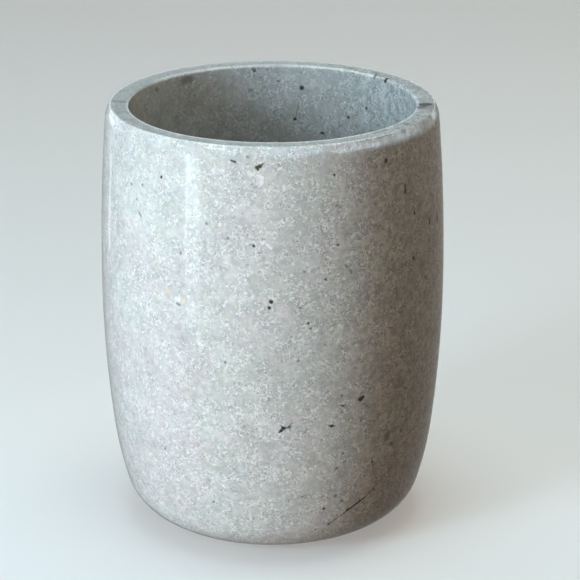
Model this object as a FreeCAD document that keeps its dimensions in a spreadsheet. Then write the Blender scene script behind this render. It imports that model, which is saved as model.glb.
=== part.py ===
import FreeCAD, Part
import math
import os
import Sketcher

# A bathroom tumbler turned from one block of pale, fine-grained stone: barrel-shaped outside,
# straight core-drilled bore inside, standing on four small clear pads held by adhesive discs.
# Frame: +Z is up, the origin is on the tumbler's axis, level with the undersides of the pads.

SIZES = [
    ("body_height", 99.5, "stone alone, from its flat base up to the plane of the rim"),
    ("belly_radius", 40.0, "widest ring of the outside"),
    ("belly_level", 56.7, "height of the widest ring above the stone's base"),
    ("upper_side_radius", 463.0, "long arc of the side above the widest ring"),
    ("lower_side_radius", 287.5, "long arc of the side below the widest ring"),
    ("flank_level", 22.1, "height where the lower side hands over to the heel arc"),
    ("heel_radius", 85.7, "arc that draws the side in towards the foot"),
    ("foot_radius", 11.75, "rounding between the heel and the flat base"),
    ("shoulder_radius", 6.2, "rounding of the rim's outer edge"),
    ("shoulder_drop", 4.1, "centre of that rounding below the plane of the rim"),
    ("rim_edge_radius", 0.5, "softened corner where the rounding meets the flat rim"),
    ("belly_wall", 7.2, "stone between the widest ring and the straight inner wall"),
    ("bore_edge_radius", 0.8, "softened inner edge of the rim"),
    ("floor_thickness", 9.0, "stone left under the bore"),
    ("floor_corner_radius", 6.0, "hollow rounding between the inner wall and the floor"),
    ("pad_radius", 4.0, "clear pad"),
    ("pad_thickness", 0.6, "clear pad"),
    ("pad_edge_radius", 0.25, "rounded lower edge of a pad"),
    ("pad_margin", 2.5, "flat of the base left outside a pad"),
    ("adhesive_thickness", 0.1, "film between a pad and the stone"),
    ("adhesive_inset", 0.3, "how far the film stays inside the pad's edge"),
]
SIZE = {name: number for name, number, _ in SIZES}
BORE_RADIUS = SIZE["belly_radius"] - SIZE["belly_wall"]

PAD_COUNT = 4
FULL_TURN_DEGREES = 360.0
FIRST_PAD_DEGREES = 45.0
MATCH_SHARE = 0.0001
MM3_PER_CM3 = 1000.0

doc = FreeCAD.newDocument("BathroomTumbler")

sheet = doc.addObject("Spreadsheet::Sheet", "Sizes")
for row, (name, number, note) in enumerate(SIZES, start=1):
    sheet.set(f"A{row}", name)
    sheet.set(f"B{row}", str(number))
    sheet.setAlias(f"B{row}", name)
    sheet.set(f"C{row}", note)
doc.recompute()


def plane(body, role):
    """The body's own origin plane with that role."""
    for feature in body.Origin.OriginFeatures:
        if feature.Role == role:
            return feature
    raise RuntimeError(f"{body.Label} has no {role}")


def sketch_on(body, role, name):
    """A sketch lying on one of the body's own origin planes."""
    sketch = body.newObject("Sketcher::SketchObject", name)
    sketch.AttachmentSupport = [(plane(body, role), "")]
    sketch.MapMode = "FlatFace"
    return sketch


def constrain(sketch, name, constraint, expression):
    """Add one named dimension to a sketch and bind it to the sheet."""
    index = sketch.addConstraint(constraint)
    sketch.renameConstraint(index, name)
    sketch.setExpression(f"Constraints.{name}", expression)


def ring_edges(feature, radius, level):
    """Names of the circular edges of that radius, centred on the axis at that level."""
    near = MATCH_SHARE * SIZE["belly_radius"]
    found = []
    for number, edge in enumerate(feature.Shape.Edges, start=1):
        curve = edge.Curve
        if not isinstance(curve, Part.Circle):
            continue
        if abs(curve.Radius - radius) < near and abs(curve.Center.z - level) < near:
            found.append(f"Edge{number}")
    if not found:
        raise RuntimeError(f"{feature.Label} has no ring of radius {radius} at level {level}")
    return found


def round_ring(body, name, base, radius, level, alias):
    """Round the ring edge of that radius and level by the size that the alias names."""
    fillet = body.newObject("PartDesign::Fillet", name)
    fillet.Base = (base, ring_edges(base, radius, level))
    fillet.Radius = SIZE[alias]
    fillet.setExpression("Radius", f"Sizes.{alias}")
    doc.recompute()
    return fillet


# The outside is a chain of arcs, each running smoothly into the next: foot, heel, lower side,
# upper side and the rounded shoulder under the rim. The sides stand upright at the widest ring,
# so both side arcs have their centres at its level. The points below only start the sketch off;
# its constraints hold the shape.

belly_radius = SIZE["belly_radius"]
belly_level = SIZE["belly_level"]
body_height = SIZE["body_height"]
lower_radius = SIZE["lower_side_radius"]
upper_radius = SIZE["upper_side_radius"]
heel_radius = SIZE["heel_radius"]
foot_radius = SIZE["foot_radius"]
shoulder_radius = SIZE["shoulder_radius"]

lower_turn = math.asin((belly_level - SIZE["flank_level"]) / lower_radius)
lower_centre = (belly_radius - lower_radius, belly_level)
heel_centre = (lower_centre[0] + (lower_radius - heel_radius) * math.cos(lower_turn),
               lower_centre[1] - (lower_radius - heel_radius) * math.sin(lower_turn))
heel_turn = math.asin((heel_centre[1] - foot_radius) / (heel_radius - foot_radius))
foot_centre = (heel_centre[0] + (heel_radius - foot_radius) * math.cos(heel_turn), foot_radius)
upper_centre = (belly_radius - upper_radius, belly_level)
shoulder_level = body_height - SIZE["shoulder_drop"]
upper_turn = math.asin((shoulder_level - belly_level) / (upper_radius - shoulder_radius))
shoulder_centre = (upper_centre[0] + (upper_radius - shoulder_radius) * math.cos(upper_turn),
                   shoulder_level)
shoulder_turn = math.asin(SIZE["shoulder_drop"] / shoulder_radius)
rim_corner_radius = shoulder_centre[0] + shoulder_radius * math.cos(shoulder_turn)
print(f"flat base {foot_centre[0]:.2f} mm in radius, flat rim ends at {rim_corner_radius:.2f} mm")


def point(x, y):
    return FreeCAD.Vector(x, y, 0)


def arc(centre, radius, start, end):
    """Arc of a circle in the sketch's plane, anticlockwise between two angles in radians."""
    circle = Part.Circle(point(*centre), FreeCAD.Vector(0, 0, 1), radius)
    return Part.ArcOfCircle(circle, start, end)


stone = doc.addObject("PartDesign::Body", "StoneBody")
stone.Label = "stone_body"

outline = sketch_on(stone, "XZ_Plane", "OutsideProfile")
BASE, FOOT, HEEL, LOWER, UPPER, SHOULDER, RIM, AXIS = range(8)
START, END, CENTRE = 1, 2, 3
ORIGIN = (-1, 1)
outline.addGeometry([
    Part.LineSegment(point(0, 0), point(foot_centre[0], 0)),
    arc(foot_centre, foot_radius, -math.pi / 2, -heel_turn),
    arc(heel_centre, heel_radius, -heel_turn, -lower_turn),
    arc(lower_centre, lower_radius, -lower_turn, 0),
    arc(upper_centre, upper_radius, 0, upper_turn),
    arc(shoulder_centre, shoulder_radius, upper_turn, shoulder_turn),
    Part.LineSegment(point(rim_corner_radius, body_height), point(0, body_height)),
    Part.LineSegment(point(0, body_height), point(0, 0)),
], False)

outline.addConstraint(Sketcher.Constraint("Coincident", BASE, START, *ORIGIN))
outline.addConstraint(Sketcher.Constraint("Horizontal", BASE))
for lower, upper in ((BASE, FOOT), (FOOT, HEEL), (HEEL, LOWER), (LOWER, UPPER), (UPPER, SHOULDER)):
    outline.addConstraint(Sketcher.Constraint("Tangent", lower, END, upper, START))
outline.addConstraint(Sketcher.Constraint("Coincident", SHOULDER, END, RIM, START))
outline.addConstraint(Sketcher.Constraint("Horizontal", RIM))
outline.addConstraint(Sketcher.Constraint("Coincident", RIM, END, AXIS, START))
outline.addConstraint(Sketcher.Constraint("Vertical", AXIS))
outline.addConstraint(Sketcher.Constraint("Coincident", AXIS, END, BASE, START))
outline.addConstraint(Sketcher.Constraint("Horizontal", LOWER, CENTRE, LOWER, END))

constrain(outline, "foot_radius", Sketcher.Constraint("Radius", FOOT, foot_radius),
          "Sizes.foot_radius")
constrain(outline, "heel_radius", Sketcher.Constraint("Radius", HEEL, heel_radius),
          "Sizes.heel_radius")
constrain(outline, "lower_side_radius", Sketcher.Constraint("Radius", LOWER, lower_radius),
          "Sizes.lower_side_radius")
constrain(outline, "upper_side_radius", Sketcher.Constraint("Radius", UPPER, upper_radius),
          "Sizes.upper_side_radius")
constrain(outline, "shoulder_radius", Sketcher.Constraint("Radius", SHOULDER, shoulder_radius),
          "Sizes.shoulder_radius")
constrain(outline, "belly_radius",
          Sketcher.Constraint("DistanceX", *ORIGIN, LOWER, END, belly_radius),
          "Sizes.belly_radius")
constrain(outline, "belly_level",
          Sketcher.Constraint("DistanceY", *ORIGIN, LOWER, END, belly_level),
          "Sizes.belly_level")
constrain(outline, "flank_level",
          Sketcher.Constraint("DistanceY", *ORIGIN, LOWER, START, SIZE["flank_level"]),
          "Sizes.flank_level")
constrain(outline, "body_height",
          Sketcher.Constraint("DistanceY", *ORIGIN, RIM, START, body_height),
          "Sizes.body_height")
constrain(outline, "shoulder_drop",
          Sketcher.Constraint("DistanceY", SHOULDER, CENTRE, RIM, START, SIZE["shoulder_drop"]),
          "Sizes.shoulder_drop")
flat = outline.addConstraint(
    Sketcher.Constraint("DistanceX", *ORIGIN, BASE, END, foot_centre[0]))
outline.setDriving(flat, False)
outline.renameConstraint(flat, "base_flat_radius")
doc.recompute()
if outline.solve() != 0 or not outline.FullyConstrained:
    raise RuntimeError("the outside profile isn't fully constrained")

block = stone.newObject("PartDesign::Revolution", "TurnedBlock")
block.Profile = outline
block.ReferenceAxis = (outline, ["V_Axis"])
block.Angle = FULL_TURN_DEGREES
outline.Visibility = False
doc.recompute()

# The bore is drilled from the rim down and stops above the base. Its sketch lies in the plane of
# the rim.
bore_circle = sketch_on(stone, "XY_Plane", "BoreCircle")
bore_circle.setExpression("AttachmentOffset.Base.z", "Sizes.body_height")
bore_circle.addGeometry(
    Part.Circle(point(0, 0), FreeCAD.Vector(0, 0, 1), BORE_RADIUS), False)
bore_circle.addConstraint(Sketcher.Constraint("Coincident", 0, CENTRE, *ORIGIN))
constrain(bore_circle, "bore_radius", Sketcher.Constraint("Radius", 0, BORE_RADIUS),
          "Sizes.belly_radius - Sizes.belly_wall")
doc.recompute()

bore = stone.newObject("PartDesign::Pocket", "Bore")
bore.Profile = bore_circle
bore.setExpression("Length", "Sizes.body_height - Sizes.floor_thickness")
doc.recompute()
bore_depth = body_height - SIZE["floor_thickness"]
bore_volume = math.pi * BORE_RADIUS ** 2 * bore_depth
removed = block.Shape.Volume - bore.Shape.Volume
print(f"the bore removes {removed / MM3_PER_CM3:.1f} cm3 of stone, "
      f"{bore_volume / MM3_PER_CM3:.1f} cm3 expected")
if abs(removed - bore_volume) > MATCH_SHARE * bore_volume:
    raise RuntimeError("the bore didn't cut what it should")

floor_corner = round_ring(stone, "FloorCorner", bore, BORE_RADIUS,
                          SIZE["floor_thickness"], "floor_corner_radius")
inner_edge = round_ring(stone, "RimInnerEdge", floor_corner, BORE_RADIUS,
                        body_height, "bore_edge_radius")
outer_edge = round_ring(stone, "RimOuterCorner", inner_edge, rim_corner_radius,
                        body_height, "rim_edge_radius")
stone.setExpression(".Placement.Base.z", "Sizes.pad_thickness + Sizes.adhesive_thickness")

# Four clear pads stand under the flat of the base, evenly spaced near its edge, each held by a
# thin disc of adhesive film that stays a little inside the pad's edge.
base_flat = "OutsideProfile.Constraints.base_flat_radius / 1 mm"
pad_pitch = f"({base_flat} - Sizes.pad_radius - Sizes.pad_margin)"
parts = [stone]
for index in range(PAD_COUNT):
    number = index + 1
    turn = FIRST_PAD_DEGREES + FULL_TURN_DEGREES * index / PAD_COUNT
    place_x = f"{pad_pitch} * cos({turn})"
    place_y = f"{pad_pitch} * sin({turn})"

    pad = doc.addObject("PartDesign::Body", f"BasePad{number}")
    pad.Label = f"base_pad_{number}"
    disc = sketch_on(pad, "XY_Plane", f"PadCircle{number}")
    disc.addGeometry(
        Part.Circle(point(0, 0), FreeCAD.Vector(0, 0, 1), SIZE["pad_radius"]), False)
    disc.addConstraint(Sketcher.Constraint("Coincident", 0, CENTRE, *ORIGIN))
    constrain(disc, "pad_radius", Sketcher.Constraint("Radius", 0, SIZE["pad_radius"]),
              "Sizes.pad_radius")
    moulded = pad.newObject("PartDesign::Pad", f"PadDisc{number}")
    moulded.Profile = disc
    moulded.setExpression("Length", "Sizes.pad_thickness")
    doc.recompute()
    round_ring(pad, f"PadLowerEdge{number}", moulded, SIZE["pad_radius"], 0, "pad_edge_radius")
    pad.setExpression(".Placement.Base.x", place_x)
    pad.setExpression(".Placement.Base.y", place_y)
    parts.append(pad)

    film = doc.addObject("Part::Cylinder", f"PadAdhesive{number}")
    film.Label = f"pad_adhesive_{number}"
    film.setExpression("Radius", "Sizes.pad_radius - Sizes.adhesive_inset")
    film.setExpression("Height", "Sizes.adhesive_thickness")
    film.setExpression(".Placement.Base.x", place_x)
    film.setExpression(".Placement.Base.y", place_y)
    film.setExpression(".Placement.Base.z", "Sizes.pad_thickness")
    parts.append(film)

doc.recompute()

for item in doc.Objects:
    if "Invalid" in item.State or "Error" in item.State:
        raise RuntimeError(f"{item.Label} failed: {item.State}")
for item in parts:
    shape = item.Shape
    if shape.isNull() or not shape.isValid() or len(shape.Solids) != 1:
        raise RuntimeError(f"{item.Label} isn't one valid solid")

os.makedirs("parts", exist_ok=True)
for item in parts:
    shape = item.Shape
    box = shape.optimalBoundingBox(False)
    shape.exportStep(f"parts/{item.Label}.step")
    print(f"{item.Label}: {shape.Volume / MM3_PER_CM3:.3f} cm3, x {box.XMin:.2f} to {box.XMax:.2f}, "
          f"y {box.YMin:.2f} to {box.YMax:.2f}, z {box.ZMin:.2f} to {box.ZMax:.2f} mm")
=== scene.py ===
# %% [markdown]
# # A bathroom tumbler turned from pale stone
#
# The real thing is one block of fine-grained limestone. A lathe gives it its barrel shape, a core
# drill its straight bore, and a polisher a soft gloss. Small clear pads under the base keep it
# from scratching a vanity top. The solids come ready from the CAD model. This lesson dresses
# them: it rebuilds the stone as one smooth surface with the unevenness of a polished block,
# mixes a stone that runs through it in three dimensions, and lights it as in the photograph.

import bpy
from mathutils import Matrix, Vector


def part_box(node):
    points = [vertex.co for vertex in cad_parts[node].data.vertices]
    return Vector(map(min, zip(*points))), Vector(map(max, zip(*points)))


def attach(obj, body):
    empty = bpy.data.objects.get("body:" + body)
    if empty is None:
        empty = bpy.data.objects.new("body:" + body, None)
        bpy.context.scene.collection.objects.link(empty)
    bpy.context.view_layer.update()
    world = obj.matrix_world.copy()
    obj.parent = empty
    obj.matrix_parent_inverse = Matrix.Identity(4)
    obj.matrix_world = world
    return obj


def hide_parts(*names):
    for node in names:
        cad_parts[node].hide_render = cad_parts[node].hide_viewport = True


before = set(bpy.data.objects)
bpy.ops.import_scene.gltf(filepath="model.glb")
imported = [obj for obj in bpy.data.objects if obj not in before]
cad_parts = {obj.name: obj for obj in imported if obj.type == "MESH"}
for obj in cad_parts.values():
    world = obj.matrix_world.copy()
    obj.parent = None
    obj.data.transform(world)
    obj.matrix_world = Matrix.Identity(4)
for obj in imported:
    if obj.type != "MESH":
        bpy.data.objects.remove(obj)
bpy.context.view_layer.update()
print("solids:", sorted(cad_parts))

# %% The tools of this lesson
import math

import bpy
import numpy as np
from mathutils import Vector

MM = 0.001
scene = bpy.context.scene
scene.view_settings.view_transform = "Standard"

# %% [markdown]
# ## The camera
#
# A photograph fixes what the camera saw, not where it stood. The tumbler's outline was matched
# with a pinhole camera, which gave a long lens about half a metre away and a little more than
# twenty degrees above the table. The camera comes first, because some marks on the stone are
# placed by where the photograph shows them.

# %% Place the camera
PICTURE_SIZE = 580
FOCAL_LENGTH_PIXELS = 2350.0
SENSOR_WIDTH = 36.0
CAMERA_DISTANCE = 554.6 * MM
CAMERA_HEIGHT_ANGLE = math.radians(20.34)
CAMERA_AIM_UP = math.radians(0.355)
CAMERA_AIM_LEFT = math.radians(-0.447)

stone_low, stone_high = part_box("stone_body")
BASE_LEVEL = stone_low.z
RIM_LEVEL = stone_high.z
stone_middle = (BASE_LEVEL + RIM_LEVEL) / 2

camera_data = bpy.data.cameras.new("camera")
camera_data.sensor_width = SENSOR_WIDTH
camera_data.lens = FOCAL_LENGTH_PIXELS / PICTURE_SIZE * SENSOR_WIDTH
camera = bpy.data.objects.new("camera", camera_data)
scene.collection.objects.link(camera)
scene.camera = camera
camera.location = (0, -CAMERA_DISTANCE * math.cos(CAMERA_HEIGHT_ANGLE),
                   stone_middle + CAMERA_DISTANCE * math.sin(CAMERA_HEIGHT_ANGLE))
camera.rotation_euler = (math.pi / 2 - CAMERA_HEIGHT_ANGLE + CAMERA_AIM_UP, 0, CAMERA_AIM_LEFT)
print(f"lens {camera_data.lens:.1f} mm, camera {camera.location.z / MM:.0f} mm above the table")

# %% [markdown]
# ## The stone's outline
#
# Half of the tumbler's section is a chain of arcs and straight lines: the flat base, the foot, the
# heel, two long side arcs that meet upright at the widest ring, a bevelled and rounded shoulder,
# the flat rim, the rolled edge of the bore, the bore and its floor. It could be drawn as a Bezier
# curve and spun with a Screw modifier. Working it out as arrays keeps every arc a true arc and
# lets each stretch have its own fineness, so the rim's small edges get many rows and the plain
# base gets few.

# %% Sizes of the outline
belly_radius = (stone_high.x - stone_low.x) / 2
body_height = RIM_LEVEL - BASE_LEVEL
BELLY_LEVEL = 56.7 * MM
UPPER_SIDE_RADIUS = 463.0 * MM
LOWER_SIDE_RADIUS = 287.5 * MM
FLANK_LEVEL = 22.1 * MM
HEEL_RADIUS = 85.7 * MM
FOOT_RADIUS = 11.75 * MM
SHOULDER_RADIUS = 5.0 * MM
SHOULDER_BEVEL = math.radians(27)
RIM_OUTER_RADIUS = 36.81 * MM
RIM_CORNER_RADIUS = 0.5 * MM
BORE_WALL = 7.2 * MM
ROLL_RADIUS = 15.0 * MM
ROLL_ANGLE = math.radians(5)
BORE_EDGE_RADIUS = 0.8 * MM
FLOOR_THICKNESS = 9.0 * MM
FLOOR_CORNER_RADIUS = 6.0 * MM
bore_radius = belly_radius - BORE_WALL
print(f"stone {2 * belly_radius / MM:.1f} mm across, {body_height / MM:.1f} mm tall")

# %% Arcs and lines of the section
ROW_SPACING = 0.8 * MM
EDGE_SPACING = 0.16 * MM
SHOULDER_SPACING = 2 * EDGE_SPACING
FLAT_SPACING = 3 * EDGE_SPACING
PLAIN_SPACING = 3.0 * MM
QUARTER = math.pi / 2


def line(start, end, spacing):
    """Points (radius, level) from start towards end, evenly spaced, without the end itself:
    start + t * (end - start)."""
    start, end = np.array(start), np.array(end)
    count = max(1, math.ceil(np.linalg.norm(end - start) / spacing))
    t = np.arange(count)[:, None] / count
    return start + t * (end - start)


def arc(centre, radius, start, end, spacing):
    """Points on a circle between two angles, without the end itself:
    centre + radius * (cos angle, sin angle)."""
    count = max(2, math.ceil(abs(end - start) * radius / spacing))
    angle = start + np.arange(count) / count * (end - start)
    return np.array(centre) + radius * np.stack([np.cos(angle), np.sin(angle)], axis=1)


# %% Where the arcs meet
# Two arcs meet smoothly where their centres and the meeting point lie on one line. The shoulder
# touches the bevel as well, so its centre lies on a line beside the bevel, where its distance
# from the upper side's centre is the difference of their radii.
lower_turn = math.asin((BELLY_LEVEL - FLANK_LEVEL) / LOWER_SIDE_RADIUS)
lower_centre = np.array([belly_radius - LOWER_SIDE_RADIUS, BELLY_LEVEL])
heel_centre = lower_centre + (LOWER_SIDE_RADIUS - HEEL_RADIUS) * np.array(
    [math.cos(lower_turn), -math.sin(lower_turn)])
heel_turn = math.asin((heel_centre[1] - FOOT_RADIUS) / (HEEL_RADIUS - FOOT_RADIUS))
foot_centre = heel_centre + (HEEL_RADIUS - FOOT_RADIUS) * np.array(
    [math.cos(heel_turn), -math.sin(heel_turn)])
upper_centre = np.array([belly_radius - UPPER_SIDE_RADIUS, BELLY_LEVEL])
corner_centre = np.array([RIM_OUTER_RADIUS, body_height - RIM_CORNER_RADIUS])
bevel_outward = np.array([math.cos(SHOULDER_BEVEL), math.sin(SHOULDER_BEVEL)])
bevel_upward = np.array([-math.sin(SHOULDER_BEVEL), math.cos(SHOULDER_BEVEL)])
bevel_inset = corner_centre @ bevel_outward + RIM_CORNER_RADIUS - SHOULDER_RADIUS
beside_bevel = bevel_inset * bevel_outward
from_upper = beside_bevel - upper_centre
along = from_upper @ bevel_upward
half_chord = math.sqrt(along**2 - from_upper @ from_upper
                       + (UPPER_SIDE_RADIUS - SHOULDER_RADIUS)**2)
shoulder_centre = beside_bevel - (along + half_chord) * bevel_upward
upper_turn = math.atan2(*(shoulder_centre - upper_centre)[::-1])
roll_drop = (ROLL_RADIUS - BORE_EDGE_RADIUS) * (1 - math.cos(ROLL_ANGLE))
bore_edge_centre = np.array([bore_radius + BORE_EDGE_RADIUS,
                             body_height - BORE_EDGE_RADIUS - roll_drop])
roll_centre = bore_edge_centre + (ROLL_RADIUS - BORE_EDGE_RADIUS) * np.array(
    [math.sin(ROLL_ANGLE), -math.cos(ROLL_ANGLE)])
floor_corner_centre = np.array([bore_radius - FLOOR_CORNER_RADIUS,
                                FLOOR_THICKNESS + FLOOR_CORNER_RADIUS])
print(f"flat base {foot_centre[0] / MM:.1f} mm in radius,"
      f" flat rim {(corner_centre[0] - roll_centre[0]) / MM:.1f} mm wide")

# %% The whole section, from the middle of the base to the middle of the floor
section = np.concatenate([
    line((PLAIN_SPACING, 0), foot_centre - (0, FOOT_RADIUS), PLAIN_SPACING),
    arc(foot_centre, FOOT_RADIUS, -QUARTER, -heel_turn, ROW_SPACING),
    arc(heel_centre, HEEL_RADIUS, -heel_turn, -lower_turn, ROW_SPACING),
    arc(lower_centre, LOWER_SIDE_RADIUS, -lower_turn, 0, ROW_SPACING),
    arc(upper_centre, UPPER_SIDE_RADIUS, 0, upper_turn, ROW_SPACING),
    arc(shoulder_centre, SHOULDER_RADIUS, upper_turn, SHOULDER_BEVEL, SHOULDER_SPACING),
    line(shoulder_centre + SHOULDER_RADIUS * bevel_outward,
         corner_centre + RIM_CORNER_RADIUS * bevel_outward, FLAT_SPACING),
    arc(corner_centre, RIM_CORNER_RADIUS, SHOULDER_BEVEL, QUARTER, EDGE_SPACING),
    line(corner_centre + (0, RIM_CORNER_RADIUS), roll_centre + (0, ROLL_RADIUS), FLAT_SPACING),
    arc(roll_centre, ROLL_RADIUS, QUARTER, QUARTER + ROLL_ANGLE, EDGE_SPACING),
    arc(bore_edge_centre, BORE_EDGE_RADIUS, QUARTER + ROLL_ANGLE, 2 * QUARTER, EDGE_SPACING),
    line((bore_radius, bore_edge_centre[1]), (bore_radius, floor_corner_centre[1]),
         PLAIN_SPACING),
    arc(floor_corner_centre, FLOOR_CORNER_RADIUS, 0, -QUARTER, ROW_SPACING),
    line((floor_corner_centre[0], FLOOR_THICKNESS), (PLAIN_SPACING, FLOOR_THICKNESS),
         PLAIN_SPACING),
])
section[:, 1] += BASE_LEVEL
print(f"{len(section)} rows in the section")

# %% [markdown]
# ## The stone's surface
#
# Carrying the section round the axis gives the whole block. A lathe leaves it round, but polishing
# by hand takes a little more here and a little less there, and that faint waviness is what makes a
# long reflection look like stone and not like plastic. It only ever removes stone, so the waves
# go inwards.

# %% Turn the section into a closed surface
COLUMNS = 432
WAVE_DEPTH = 0.06 * MM
WAVES = [
    # waves round the stone, turn of the wave between base and rim and its start, in radians
    (2, 3.1, 0.4),
    (3, -5.3, 1.9),
    (5, 9.7, 4.2),
]
angle = np.arange(COLUMNS) / COLUMNS * math.tau


def hand_polish(angle, level):
    """Depth taken off the outside, from 0 to 1: the average of slow waves that run round and up
    the stone at different rates, each (1 + sin(count * angle + rise * height + start)) / 2."""
    height = (level - BASE_LEVEL) / body_height
    waves = [np.sin(count * angle + rise * height + start) for count, rise, start in WAVES]
    return 0.5 + sum(waves) / (2 * len(waves))


tangent = np.gradient(section, axis=0)
tangent /= np.linalg.norm(tangent, axis=1)[:, None]
outward = np.stack([tangent[:, 1], -tangent[:, 0]], axis=1)
depth = WAVE_DEPTH * hand_polish(angle[None, :], section[:, 1][:, None])
radius = section[:, :1] - outward[:, :1] * depth
above_foot = section[:, 1:] > BASE_LEVEL + FOOT_RADIUS / 2  # below it the base stays flat
level = section[:, 1:] - outward[:, 1:] * depth * above_foot
grid = np.stack([radius * np.cos(angle), radius * np.sin(angle),
                 np.broadcast_to(level, radius.shape)], axis=2)
print("grid", grid.shape[:2])


def closed_mesh(name, grid, first_pole, last_pole):
    """A mesh from rings of points: quads between neighbouring rings, and a fan of triangles from
    the first and last ring to a pole on the axis."""
    rows, columns = grid.shape[:2]
    ring = np.arange(rows * columns).reshape(rows, columns)
    here, right = ring, np.roll(ring, -1, axis=1)
    quads = np.stack([here[:-1], right[:-1], right[1:], here[1:]], axis=2).reshape(-1, 4)
    first, last = rows * columns, rows * columns + 1
    first_fan = np.stack([right[0], here[0], np.full(columns, first)], axis=1)
    last_fan = np.stack([here[-1], right[-1], np.full(columns, last)], axis=1)
    mesh = bpy.data.meshes.new(name)
    points = np.concatenate([grid.reshape(-1, 3), [first_pole, last_pole]])
    mesh.from_pydata(points.tolist(), [], quads.tolist() + first_fan.tolist() + last_fan.tolist())
    mesh.polygons.foreach_set("use_smooth", np.ones(len(mesh.polygons), bool))
    mesh.update()
    piece = bpy.data.objects.new(name, mesh)
    scene.collection.objects.link(piece)
    return piece


stone = closed_mesh("stone", grid, (0, 0, BASE_LEVEL), (0, 0, BASE_LEVEL + FLOOR_THICKNESS))
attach(stone, "root")
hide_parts("stone_body")
print(f"stone: {2 * len(stone.data.polygons)} triangles")

# %% [markdown]
# ## Node helpers
#
# Every material here is a tree of nodes, and most of what a tree needs is one more node with a few
# numbers or wires put into it. The helper below adds such a node. The small functions after it name
# the steps that the stone uses again and again, so that the recipe further down reads like a recipe.

# %% Add a node, and the steps used most
PLAIN_DETAIL = 2.0


def add(tree, kind, inputs=None, **settings):
    """Add one node, set it up, and give its inputs numbers or the sockets of other nodes."""
    made = tree.nodes.new(kind)
    for name, value in settings.items():
        setattr(made, name, value)
    for place, value in (inputs or {}).items():
        if isinstance(value, bpy.types.NodeSocket):
            tree.links.new(value, made.inputs[place])
        else:
            made.inputs[place].default_value = value
    return made


def maths(tree, operation, *values):
    """One Math node: the numbers or sockets go into its inputs in order."""
    return add(tree, "ShaderNodeMath", dict(enumerate(values)), operation=operation).outputs[0]


def vectors(tree, operation, *values):
    """One Vector Math node. Its answer is a number for a distance or a dot product."""
    node = add(tree, "ShaderNodeVectorMath", dict(enumerate(values)), operation=operation)
    return node.outputs["Value" if operation in ("DOT_PRODUCT", "DISTANCE") else "Vector"]


def ramp(tree, value, start, end, low=0.0, high=1.0):
    """A smooth step: low where the value is at start, high where it is at end. It needs no clamp,
    and each clamp would be one more node to keep in the shader's small memory."""
    return add(tree, "ShaderNodeMapRange", {0: value, 1: start, 2: end, 3: low, 4: high},
               interpolation_type="SMOOTHSTEP", clamp=False).outputs[0]


def noise_of(tree, place, size, detail):
    """A Noise node whose patches measure about that many millimetres."""
    return add(tree, "ShaderNodeTexNoise", {"Vector": place, "Scale": 1 / size, "Detail": detail})


def cloudy(tree, place, size, detail=PLAIN_DETAIL):
    """Noise of that size as a number from 0 to 1."""
    return noise_of(tree, place, size, detail).outputs[0]


def tint(tree, colour, other, amount, blend="MIX"):
    """Lay another colour over a colour by an amount from 0 to 1."""
    return add(tree, "ShaderNodeMix", {0: amount, 6: colour, 7: other}, data_type="RGBA",
               blend_type=blend).outputs[2]


def place_in_millimetres(tree):
    """Object coordinates in millimetres, so that every pattern below is sized in millimetres."""
    coords = add(tree, "ShaderNodeTexCoord").outputs["Object"]
    return add(tree, "ShaderNodeVectorMath", {0: coords, "Scale": 1 / MM},
               operation="SCALE").outputs[0]


def shake_place(tree, place, size, reach):
    """The place moved by a noise of that size: place + (noise - 1/2) * reach."""
    noise = noise_of(tree, place, size, PLAIN_DETAIL)
    return vectors(tree, "MULTIPLY_ADD", noise.outputs["Color"], [reach] * 3,
                   vectors(tree, "ADD", place, [-reach / 2] * 3))


def new_tree(name):
    """A new material, and the tree and shader in it."""
    material = bpy.data.materials.new(name)
    material.use_nodes = True
    return material, material.node_tree, material.node_tree.nodes["Principled BSDF"]


# %% [markdown]
# ## Grains in the stone
#
# The stone is a sand of broken shell set in a fine paste. Cut and polished, each bit of shell shows
# as a pale sliver, a few as grey or black ones. A Voronoi texture gives every cell of space a point
# and a random colour. Measuring from that point along and across a random direction makes one
# sliver in each cell. It has no seam anywhere, and it runs over the rim and down the bore as the
# grain of a real block does.

# %% A node group for slivers of shell
MIDDLE_COLOUR = (0.5, 0.5, 0.5)
TONE_MIX = (17.3, 31.7, 57.9)  # stirs the three parts of a cell's random colour into one number
SLIVER_EDGE = (1.3, 0.6)  # where a sliver starts and where it is full, 1 being its outline


def socket(tree, name, kind, is_output=False, value=None):
    """Add a socket to a node group's outside."""
    made = tree.interface.new_socket(name, in_out="OUTPUT" if is_output else "INPUT",
                                     socket_type=kind)
    if value is not None:
        made.default_value = value


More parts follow.
